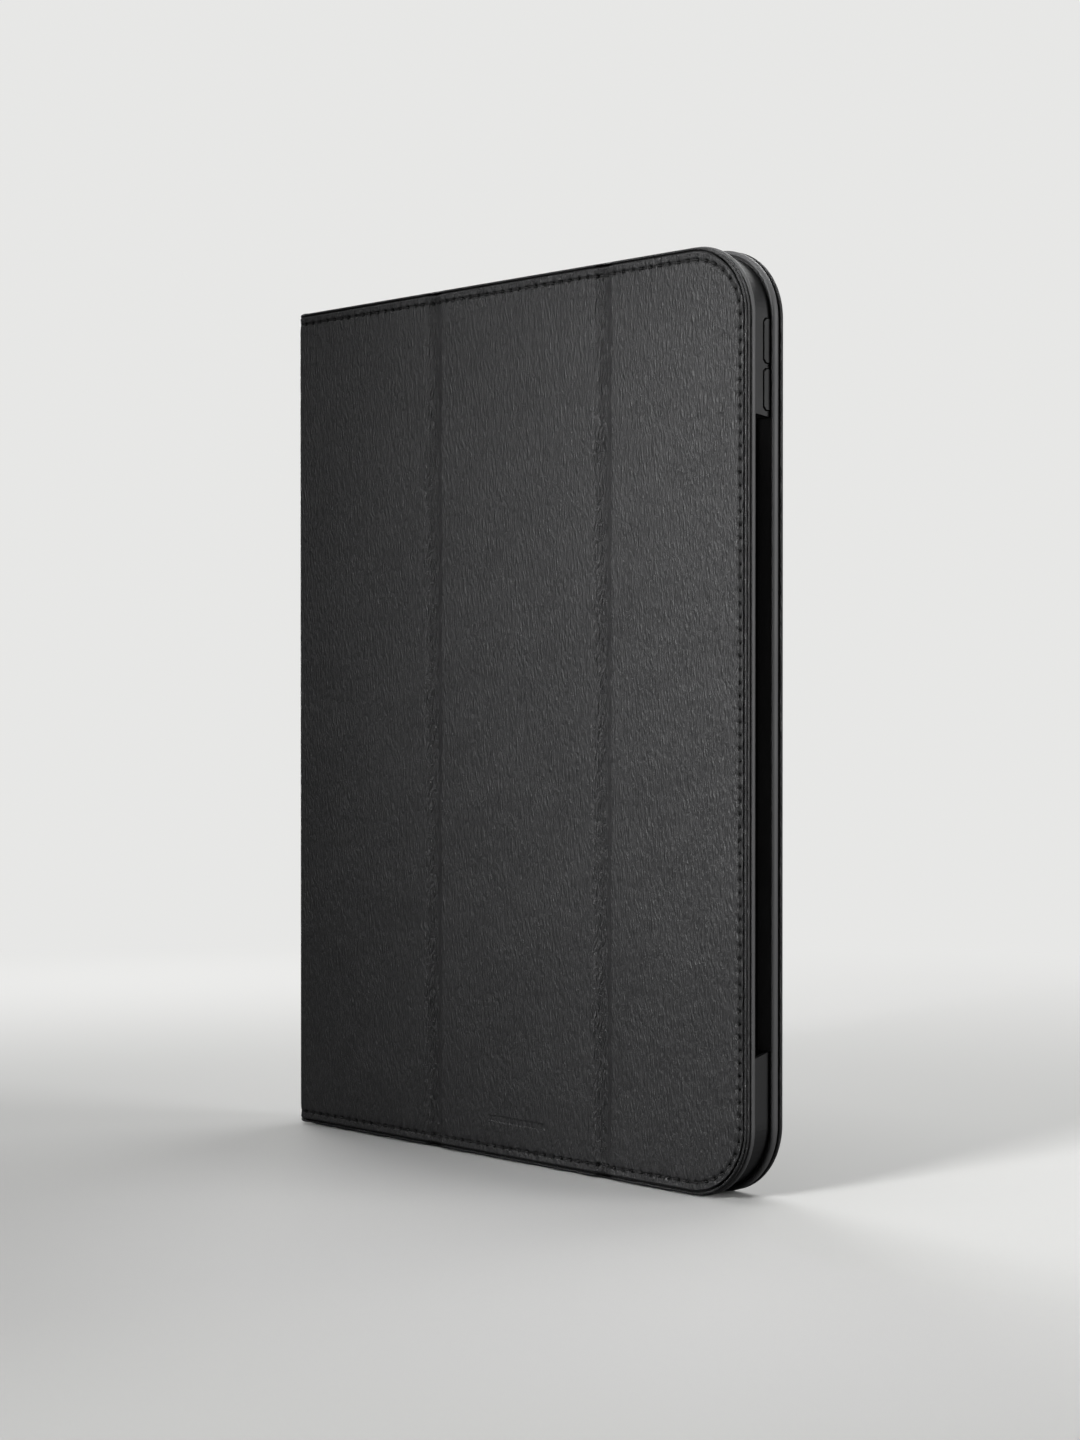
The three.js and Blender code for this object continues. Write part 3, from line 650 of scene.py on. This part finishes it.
class Nodes:
    """Short calls for building one material's nodes."""

    def __init__(self, name):
        self.material = bpy.data.materials.new(name)
        self.material.use_nodes = True
        self.tree = self.material.node_tree
        self.shader = self.tree.nodes["Principled BSDF"]

    def add(self, kind, **values):
        node = self.tree.nodes.new(kind)
        for key, value in values.items():
            if hasattr(node, key) and not isinstance(value, tuple):
                setattr(node, key, value)
            else:
                node.inputs[key.replace("_", " ")].default_value = value
        return node

    def link(self, source, target):
        self.tree.links.new(source, target)

    def place(self, scale=(1, 1, 1)):
        """The rest place of each point in millimetres, times scale."""
        source = self.add("ShaderNodeAttribute", attribute_name="rest_co")
        mapping = self.add("ShaderNodeMapping", Scale=tuple(v / MM for v in scale))
        self.link(source.outputs["Vector"], mapping.inputs["Vector"])
        return mapping.outputs["Vector"]

    def noise(self, vector, scale, detail=3.0, rough=0.5):
        node = self.add("ShaderNodeTexNoise", Scale=scale, Detail=detail, Roughness=rough)
        self.link(vector, node.inputs["Vector"])
        return node.outputs["Fac"]

    def cells(self, vector, scale, feature="F1"):
        node = self.add("ShaderNodeTexVoronoi", feature=feature, Scale=scale)
        self.link(vector, node.inputs["Vector"])
        return node.outputs["Distance"]

    def ramp(self, value, low, high, out_low=0.0, out_high=1.0):
        ends = {"From_Min": low, "From_Max": high, "To_Min": out_low, "To_Max": out_high}
        node = self.add("ShaderNodeMapRange", **ends)
        self.link(value, node.inputs["Value"])
        return node.outputs["Result"]

    def maths(self, operation, a, b):
        node = self.add("ShaderNodeMath", operation=operation)
        for slot, value in zip(node.inputs, (a, b)):
            if isinstance(value, (int, float)):
                slot.default_value = value
            else:
                self.link(value, slot)
        return node.outputs["Value"]

    def colour(self, factor, dark, light, under=None):
        """From dark (or the colour linked as under) at factor 0 to light at factor 1."""
        node = self.add("ShaderNodeMix", data_type="RGBA")
        first, second = [socket for socket in node.inputs if socket.type == "RGBA"]
        if under is None:
            first.default_value = (*dark, 1)
        else:
            self.link(under, first)
        second.default_value = (*light, 1)
        self.link(factor, node.inputs["Factor"])
        return [socket for socket in node.outputs if socket.type == "RGBA"][0]

    def bump(self, height, strength, distance, before=None):
        node = self.add("ShaderNodeBump", Strength=strength, Distance=distance * MM)
        self.link(height, node.inputs["Height"])
        if before is not None:
            self.link(before, node.inputs["Normal"])
        return node.outputs["Normal"]

    def finish(self, colour, rough, normal=None, metallic=0.0, **extra):
        for socket, value in (("Base Color", colour), ("Roughness", rough)):
            if isinstance(value, (tuple, float, int)):
                self.shader.inputs[socket].default_value = (*value, 1) if isinstance(value, tuple) else value
            else:
                self.link(value, self.shader.inputs[socket])
        self.shader.inputs["Metallic"].default_value = metallic
        for key, value in extra.items():
            self.shader.inputs[key.replace("_", " ")].default_value = value
        if normal is not None:
            self.link(normal, self.shader.inputs["Normal"])
        return self.material


def leather_material():
    n = Nodes("leather")
    fine = n.place((1, 1, 1))
    sway = n.add("ShaderNodeTexNoise", Scale=0.07, Detail=2)
    n.link(fine, sway.inputs["Vector"])
    warp = n.add("ShaderNodeVectorMath", operation="MULTIPLY_ADD")
    warp.inputs[1].default_value = (3.0, 0, 1.0)
    n.link(sway.outputs["Color"], warp.inputs[0])
    n.link(n.place((1.1, 1, 0.24)), warp.inputs[2])
    drawn = warp.outputs["Vector"]
    grain = n.ramp(n.cells(drawn, 1.15, "DISTANCE_TO_EDGE"), 0.0, 0.36)
    small = n.ramp(n.cells(drawn, 2.6, "DISTANCE_TO_EDGE"), 0.0, 0.3)
    creases = n.noise(drawn, 1.0, 4, 0.62)
    pores = n.noise(fine, 3.0, 2)
    patches = n.noise(fine, 0.03, 3)
    height = n.maths("ADD", n.maths("MULTIPLY", grain, 0.6), n.maths("MULTIPLY", small, 0.2))
    height = n.maths("ADD", height, n.maths("MULTIPLY", pores, 0.3))
    creased_more = n.add("ShaderNodeAttribute", attribute_name="creased").outputs["Fac"]
    creased_more = n.maths("ADD", n.maths("MULTIPLY", creased_more, 0.9), 1)
    height = n.maths("MULTIPLY", n.maths("SUBTRACT", height, 0.55), creased_more)
    creases = n.maths("MULTIPLY", n.maths("SUBTRACT", creases, 0.5), creased_more)
    normal = n.bump(creases, 0.9, 0.45)
    normal = n.bump(height, 0.9, 0.32, normal)
    colour = n.colour(n.ramp(patches, 0.3, 0.7), (0.006, 0.006, 0.0065), (0.009, 0.009, 0.0095))
    # painted shade: needle holes, the stitch row's groove and the rim's seam groove are coloured near black,
    # with rougher leather and no specular there
    holes = n.add("ShaderNodeAttribute", attribute_name="painted_recess_shade").outputs["Fac"]
    colour = n.colour(holes, None, (0.001, 0.001, 0.001), colour)
    rough = n.ramp(n.maths("ADD", grain, creases), 0.3, 1.5, 0.60, 0.42)
    rough = n.maths("ADD", rough, n.maths("MULTIPLY", holes, 0.4))
    n.link(n.ramp(holes, 0.0, 1.0, 0.45, 0.0), n.shader.inputs["Specular IOR Level"])
    return n.finish(colour, rough, normal)


def lining_material():
    n = Nodes("lining")
    fine = n.place((1, 1, 1))
    weave = n.cells(fine, 2.6)
    patches = n.noise(fine, 0.05, 2)
    normal = n.bump(n.maths("ADD", weave, n.noise(fine, 5.0, 2)), 0.35, 0.04)
    colour = n.colour(patches, (0.032, 0.032, 0.033), (0.044, 0.044, 0.045))
    return n.finish(colour, n.ramp(patches, 0.3, 0.7, 0.55, 0.65), normal, Specular_IOR_Level=0.5)


def thread_material():
    n = Nodes("thread")
    twist = n.noise(n.place((6, 6, 6)), 1.0, 2)
    normal = n.bump(twist, 0.6, 0.05)
    colour = n.colour(twist, (0.003, 0.003, 0.003), (0.009, 0.009, 0.009))
    return n.finish(colour, 0.7, normal, Specular_IOR_Level=0.3)


def board_material():
    n = Nodes("board")
    fibres = n.noise(n.place((0.5, 3, 0.12)), 1.6, 5, 0.65)
    colour = n.colour(fibres, (0.02, 0.018, 0.016), (0.05, 0.044, 0.037))
    return n.finish(colour, 0.85, n.bump(fibres, 0.4, 0.06))


def plastic_material():
    n = Nodes("tray_plastic")
    fine = n.place((1, 1, 1))
    texture = n.noise(fine, 4.5, 3, 0.6)
    wear = n.noise(fine, 0.12, 4, 0.6)
    colour = n.colour(wear, (0.006, 0.006, 0.0065), (0.010, 0.010, 0.0105))
    rough = n.ramp(wear, 0.3, 0.7, 0.50, 0.58)
    return n.finish(colour, rough, n.bump(texture, 0.3, 0.03), Specular_IOR_Level=0.22)


def microfibre_material():
    n = Nodes("microfibre")
    fine = n.place((1, 1, 1))
    nap = n.noise(n.place((3, 3, 1.4)), 2.2, 5, 0.7)
    brushed = n.noise(n.place((1, 1, 0.4)), 0.06, 3)
    tone = n.maths("MULTIPLY", nap, n.ramp(brushed, 0.3, 0.7, 0.7, 1.2))
    colour = n.colour(tone, (0.018, 0.018, 0.02), (0.05, 0.05, 0.054))
    normal = n.bump(n.maths("ADD", nap, n.noise(fine, 6, 2)), 0.6, 0.08)
    return n.finish(colour, 0.95, normal, Sheen_Weight=0.35, Sheen_Roughness=0.4)


def film_material():
    n = Nodes("adhesive")
    cloud = n.noise(n.place((1, 1, 1)), 0.3, 3)
    return n.finish(n.colour(cloud, (0.5, 0.48, 0.4), (0.62, 0.6, 0.52)), n.ramp(cloud, 0.3, 0.7, 0.35, 0.5))


def metal_material(name, tone, rough, scale):
    n = Nodes(name)
    brushed = n.noise(n.place(scale), 1.0, 4, 0.6)
    colour = n.colour(brushed, tuple(0.85 * v for v in tone), tone)
    return n.finish(colour, n.ramp(brushed, 0.3, 0.7, rough, rough + 0.12), n.bump(brushed, 0.15, 0.02), 1.0)


MATERIALS = {
    "leather": leather_material(),
    "lining": lining_material(),
    "thread": thread_material(),
    "board": board_material(),
    "tray_plastic": plastic_material(),
    "microfibre": microfibre_material(),
    "adhesive": film_material(),
    "magnet_metal": metal_material("magnet_metal", (0.62, 0.62, 0.63), 0.18, (2, 2, 2)),
    "keeper_steel": metal_material("keeper_steel", (0.5, 0.5, 0.51), 0.28, (8, 8, 0.2)),
}

# ---------------------------------------------------------------- the pieces

def settle(obj, node, body=None):
    """Hide the CAD node a piece stands for and, if it bends nowhere, attach the piece to its body."""
    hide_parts(node)
    if body:
        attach(obj, body)


BEND = 0.2
BODIES = ["hinge_panel", "fold_strip_1", "middle_panel", "fold_strip_2", "free_panel"]
(HINGE_END, MIDDLE_START), (MIDDLE_END, FREE_START) = [(c - CHANNEL_HALF, c + CHANNEL_HALF) for c in CHANNELS]


def build_front_leather():
    leather = MATERIALS["leather"]
    panel = lofted("hinge_panel_leather", stations(WEB, HINGE_END - LEFT, FINE), leather_loop, leather)
    settle(panel, "hinge_panel_skin", "hinge_panel")
    panel = lofted(
        "middle_panel_leather",
        stations(MIDDLE_START - LEFT, MIDDLE_END - LEFT, FINE),
        lambda s: leather_loop(s, marked=True),
        leather,
    )
    settle(panel, "middle_panel_skin", "middle_panel")
    panel = cover_leaf("free_panel_leather", FREE_START, FRONT_RIM, FRONT_UNDER, FRONT, 1, True, leather)
    settle(panel, "free_panel_skin", "free_panel")
    build_channels("leather", "skin", leather_loop, LEFT)


def channel_halves():
    """The four halves of the folding channels: the channel's number, the side, both ends' x, both bodies."""
    for i, centre in enumerate(CHANNELS):
        ends = (centre - CHANNEL_HALF, centre, centre + CHANNEL_HALF)
        for j, side in enumerate(("inner", "outer")):
            yield i + 1, side, ends[j], ends[j + 1], BODIES[2 * i + j], BODIES[2 * i + j + 1]


def blend_half(half):
    """Bake a piece of a channel's placement into its points."""
    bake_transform(half)


def build_channels(kind, layer, loop, origin):
    """Each folding channel in two halves, one on either side of its middle."""
    for number, side, x0, x1, first, second in channel_halves():
        s_values = stations(x0 - origin, x1 - origin, BEND)
        half = lofted(f"channel_{number}_{side}_{kind}", s_values, loop, MATERIALS[kind])
        settle(half, f"fold_strip_{number}_{layer}")
        blend_half(half)


def blend_web(piece):
    """Bake a piece of the strip between the front panel or the back cover and the spine into its points."""
    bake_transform(piece)


def build_spine_leather():
    leather = MATERIALS["leather"]
    spine = lofted("spine_leather", stations(*SPINE_SPAN, 0.6), leather_loop, leather)
    settle(spine, "spine_skin", "spine")
    web = lofted("front_hinge_leather", stations(*FRONT_WEB, BEND), leather_loop, leather)
    settle(web, "spine_skin")
    blend_web(web)
    web = lofted("back_hinge_leather", stations(*BACK_WEB, BEND), leather_loop, leather)
    settle(web, "spine_skin")
    blend_web(web)


def build_linings():
    lining = MATERIALS["lining"]
    origin = LINING_CORNER_X
    for body, x0, x1 in (("hinge_panel", WEB_X, HINGE_END), ("middle_panel", MIDDLE_START, MIDDLE_END)):
        s_values = stations(x0 - origin, x1 - origin, 2.0)
        panel = lofted(f"{body}_lining_face", s_values, lining_loop, lining, flip=True)
        settle(panel, f"{body}_lining", body)
    panel = cover_leaf(
        "free_panel_lining_face", FREE_START, LINING_RIM, LINING_UNDER, INNER_Y, -1, False, lining
    )
    settle(panel, "free_panel_lining", "free_panel")
    top = -LINING_ARC - LINING_RISE
    hold = 0.45
    web = WEB_X - origin
    pieces = {
        "front_hinge_lining": (-LINING_ARC - hold, web),
        "spine_lining_face": (top + hold, -LINING_ARC - hold),
        "back_hinge_lining": (top - LINING_ARC - web, top + hold),
    }
    made = {}
    for name, (a, b) in pieces.items():
        made[name] = lofted(name, stations(a, b, 0.12), lining_loop, lining, flip=True)
        settle(made[name], "spine_lining")
    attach(made["spine_lining_face"], "spine")
    for name, body, y, rise in (
        ("front_hinge_lining", "hinge_panel", INNER_Y, 1),
        ("back_hinge_lining", "back_cover", BACK_INNER_Y, -1),
    ):
        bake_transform(made[name])


def build_back_cover():
    rim = [(0.12, 0.02), (0.36, 0.12), (0.52, 0.34), (0.58, 0.62), (0.60, 1.09)]
    hole = camera_outline(rim[-1][0])
    leather = MATERIALS["leather"]
    back = cover_leaf("back_cover_leather", WEB_X, BACK_RIM, BACK_UNDER, BACK, -1, True, leather, hole, rim)
    settle(back, "back_cover_skin", "back_cover")
    build_back_lining()


def camera_outline(slack):
    """The outline of the tray's camera opening, drawn out by slack."""
    x1, _, z1 = (v - CAMERA_FROM_RIM + slack for v in node_box("tray_rim")[1])
    size = CAMERA_SIZE + 2 * slack
    return rounded_box(x1 - size, x1, z1 - size, z1, CAMERA_CORNER + slack)


def build_back_lining():
    """The back cover's lining shows only as a margin round the tray, so it is a closed U-shaped band."""
    rim = np.array(BACK_LINING_RIM)
    under = BACK_BOARD_Y - BORDER_Y - CLEAR
    face = BACK_INNER_Y - BORDER_Y
    width = 6.8
    inset = np.concatenate([[width, rim[0, 0]], rim[:, 0], [width]])
    depth = np.concatenate([[under, under], rim[:, 1], [face]])
    start = WEB_X - LEFT
    s_values = stations(start, ROW_LENGTH - start, 1.0)
    x, z, out_x, out_z = edge_point(s_values)
    px = x[:, None] - out_x[:, None] * inset
    pz = z[:, None] - out_z[:, None] * inset
    py = BORDER_Y + np.repeat(depth[None, :], len(s_values), 0)
    points = np.stack([px, py, pz], 2).reshape(-1, 3)
    count = len(inset)
    faces = grid_faces(len(s_values), count, flip=True)
    faces.append(cap(0, count, True))
    faces.append(cap((len(s_values) - 1) * count, count, False))
    band = make_object("back_cover_lining_margin", points, faces, MATERIALS["lining"])
    settle(band, "back_cover_lining", "back_cover")


def stitch_numbers(x0, x1):
    """The stitches with middles between x0 and x1 on the bottom row, and their twins on the top row."""
    chosen = [k for k in range(STITCHES // 2) if x0 < LEFT + (k + 0.5) * PITCH <= x1]
    return chosen, [STITCHES - 1 - k for k in chosen]


def build_stitching():
    thread = MATERIALS["thread"]
    for body, x0, x1 in (("hinge_panel", WEB_X - 0.6, HINGE_END), ("middle_panel", MIDDLE_START, MIDDLE_END)):
        low, high = stitch_numbers(x0, x1)
        for place, numbers in (("bottom", low), ("top", high)):
            row = stitches(f"{body}_{place}_stitches", numbers, "front", thread)
            settle(row, f"{body}_stitching_{place}", body)
    first = stitch_numbers(LEFT - PITCH, FREE_START)[0][-1] + 1
    row = stitches("free_panel_stitches", range(first, STITCHES - first), "front", thread)
    settle(row, "free_panel_stitching", "free_panel")
    for number, side, x0, x1, first, second in channel_halves():
        low, high = stitch_numbers(x0, x1)
        if low:
            row = stitches(f"channel_{number}_{side}_stitches", low + high, "front", thread)
            settle(row, f"{BODIES[2 * number - 2]}_stitching_bottom")
            blend_half(row)
    web = stitches("front_hinge_stitches", [0, STITCHES - 1], "front", thread)
    settle(web, "hinge_panel_stitching_bottom")
    blend_web(web)
    web = stitches("back_hinge_stitches", [0, STITCHES - 1], "back", thread)
    settle(web, "back_cover_stitching")
    blend_web(web)
    row = stitches("back_cover_stitches", range(1, STITCHES - 1), "back", thread)
    settle(row, "back_cover_stitching", "back_cover")


def build_spine_board():
    """The spine's stiffener, with eased long edges."""
    (x0, y0, _), (x1, y1, _) = node_box("spine_board")
    r = 0.2
    section = [
        (x0 + r, y0), (x1 - r, y0), (x1, y0 + r), (x1, y1 - r),
        (x1 - r, y1), (x0 + r, y1), (x0, y1 - r), (x0, y0 + r),
    ]

    def loop(z):
        return np.array([(x, y, z) for x, y in section])

    end = SPINE_END_INSET + 1.2
    board = lofted("spine_stiffener", stations(end, HEIGHT - end, 10), loop, MATERIALS["board"])
    settle(board, "spine_board", "spine")


PAD_CORNER = 12.0
PAD_HOLE_SLACK = 0.3
PAD_GRID = 5.0
# The pad's edge, as (inset, depth below the pad's face): it stands a little proud and rolls down at its edge.
PAD_RIM = [(0.20, 0.28), (0.06, 0.22), (0.03, 0.08), (0.10, -0.04), (0.28, -0.12), (0.60, -0.15)]


def build_floor_pad():
    """The napped pad on the tray's floor: a thin soft sheet with its edges and its opening's edges rolled."""
    (x0, face, z0), (x1, _, z1) = node_box("tray_floor_pad")
    outers, holes = [], []
    for inset, _ in PAD_RIM:
        outers.append(rounded_box(x0 + inset, x1 - inset, z0 + inset, z1 - inset, PAD_CORNER - inset, 10))
        holes.append(camera_outline(inset + PAD_HOLE_SLACK)[::-1])
    count, n_hole = len(outers[0]), len(holes[0])
    points, triangles = fill_sheet(outers[-1], holes[-1], PAD_GRID)
    swell = np.array([0.07 * noise.noise(Vector((x / 26, z / 26, 4.0))) for x, z in points])
    swell[: count + n_hole] = 0
    vertices = [np.stack([points[:, 0], face + PAD_RIM[-1][1] + swell, points[:, 1]], 1)]
    faces = [tuple(int(i) for i in t) for t in triangles]
    total = len(points)
    edges = [list(range(count)), list(range(count, count + n_hole))]
    for row in range(len(PAD_RIM) - 2, -1, -1):
        depth = PAD_RIM[row][1]
        for k, ring in enumerate((outers[row], holes[row])):
            vertices.append(np.stack([ring[:, 0], np.full(len(ring), face + depth), ring[:, 1]], 1))
            current = list(range(total, total + len(ring)))
            total += len(ring)
            faces += bridge(edges[k], current, True)
            edges[k] = current
    under, under_triangles = fill_sheet(outers[0], holes[0], PAD_GRID)
    inner = under[count + n_hole:]
    place = [*edges[0], *edges[1], *range(total, total + len(inner))]
    vertices.append(np.stack([inner[:, 0], np.full(len(inner), face + PAD_RIM[0][1]), inner[:, 1]], 1))
    faces += [tuple(place[int(i)] for i in t)[::-1] for t in under_triangles]
    pad = make_object("microfibre_pad", np.concatenate(vertices), faces, MATERIALS["microfibre"])
    settle(pad, "tray_floor_pad", "back_cover")


def dress_frame():
    """A material for every CAD node that stays, and eased edges on the moulded and metal ones."""
    slots = {part["node"]: part["material_slot"] for part in frame["record"]["subparts"]}
    easing = {"tray_plastic": 0.22, "magnet_metal": 0.15, "keeper_steel": 0.1, "board": 0.15}
    for name, obj in frame["nodes"].items():
        slot = slots[name]
        obj.data.materials.clear()
        obj.data.materials.append(MATERIALS[slot])
        remember_place(obj.data)
        obj.data.shade_smooth()
        obj.data.set_sharp_from_angle(angle=math.radians(32))
        if slot in easing:
            bevel = obj.modifiers.new("eased_edges", "BEVEL")
            bevel.width = easing[slot] * MM
            bevel.segments = 3
            bevel.limit_method = "ANGLE"
            bevel.angle_limit = math.radians(32)
            bevel.use_clamp_overlap = True
            bevel.harden_normals = True


# ---------------------------------------------------------------- studio

def area_light(name, place, target, size, power, spread=180):
    light = bpy.data.lights.new(name, "AREA")
    light.shape = "RECTANGLE"
    light.size, light.size_y = size
    light.energy = power
    light.spread = math.radians(spread)
    obj = bpy.data.objects.new(name, light)
    obj.location = place
    obj.rotation_euler = (Vector(target) - Vector(place)).to_track_quat("-Z", "Y").to_euler()
    obj.visible_camera = False
    bpy.context.scene.collection.objects.link(obj)


PALE = (0.80, 0.80, 0.79)
FLOOR_TONE = (0.36, 0.36, 0.355)
FLOOR_BOUNCE = (0.10, 0.10, 0.10)
FLOOR_FADE = (0.20, 0.66)


def floor_material():
    """A matt pale floor that fades with distance into the studio's pale surround."""
    n = Nodes("floor")
    place = n.add("ShaderNodeNewGeometry").outputs["Position"]
    length = n.add("ShaderNodeVectorMath", operation="LENGTH")
    n.link(place, length.inputs[0])
    start, end = FLOOR_FADE
    fade = n.add("ShaderNodeMapRange", interpolation_type="SMOOTHSTEP", From_Min=start, From_Max=end)
    n.link(length.outputs["Value"], fade.inputs["Value"])
    fade = fade.outputs["Result"]
    seen = n.add("ShaderNodeLightPath").outputs["Is Camera Ray"]
    near = n.colour(seen, FLOOR_BOUNCE, FLOOR_TONE)
    colour = n.colour(fade, None, (0, 0, 0), near)
    n.shader.inputs["Emission Color"].default_value = (*PALE, 1)
    n.link(n.maths("MULTIPLY", seen, fade), n.shader.inputs["Emission Strength"])
    return n.finish(colour, 0.9, Specular_IOR_Level=0.0)


def build_studio():
    """A pale floor with a pale surround, and soft lights in front, overhead and behind."""
    around, radii = 64, (0.2, 0.6, 1.2, 3.0)
    points = [(0, 0, 0)]
    for radius in radii:
        for i in range(around):
            angle = 2 * math.pi * i / around
            points.append((radius * math.cos(angle), radius * math.sin(angle), 0))
    faces = [(0, 1 + i, 1 + (i + 1) % around) for i in range(around)]
    faces += [tuple(1 + v for v in f) for f in grid_faces(len(radii), around)]
    mesh = bpy.data.meshes.new("floor")
    mesh.from_pydata(points, [], faces)
    mesh.materials.append(floor_material())
    floor = bpy.data.objects.new("floor", mesh)
    bpy.context.scene.collection.objects.link(floor)
    world = bpy.data.worlds.new("studio")
    world.use_nodes = True
    tree = world.node_tree
    tree.nodes["Background"].inputs["Color"].default_value = (*PALE, 1)
    strength = tree.nodes.new("ShaderNodeMapRange")
    strength.inputs["To Min"].default_value = 0.07
    strength.inputs["To Max"].default_value = 1.0
    seen = tree.nodes.new("ShaderNodeLightPath").outputs["Is Camera Ray"]
    tree.links.new(seen, strength.inputs["Value"])
    tree.links.new(strength.outputs["Result"], tree.nodes["Background"].inputs["Strength"])
    bpy.context.scene.world = world
    centre = (0.03, 0, 0.15)
    area_light("key", (0.10, -0.94, 0.46), (0.17, 0, 0.15), (0.24, 0.24), 1.25, 37)
    area_light("overhead", (0.0, -0.10, 1.20), (0, 0, 0), (0.8, 0.8), 7)
    area_light("top", (-0.05, 0.60, 0.75), centre, (0.5, 0.3), 4)
    area_light("side", (0.90, 0.45, 0.34), centre, (0.5, 0.6), 9)
    area_light("rim", (-0.88, 0.36, 0.36), (-0.09, 0, 0.12), (0.55, 0.75), 16)
    bpy.context.scene.view_settings.view_transform = "Standard"


def build_camera():
    camera = bpy.data.cameras.new("camera")
    camera.lens = 64.2
    camera.sensor_width = 36
    obj = bpy.data.objects.new("camera", camera)
    obj.location = (0.539, -0.513, 0.1335)
    obj.rotation_euler = (math.radians(90 - 0.50), 0, math.radians(46.0))
    bpy.context.scene.collection.objects.link(obj)
    bpy.context.scene.camera = obj


build_front_leather()
build_spine_leather()
build_linings()
build_back_cover()
build_stitching()
build_spine_board()
build_floor_pad()
dress_frame()
build_studio()
build_camera()
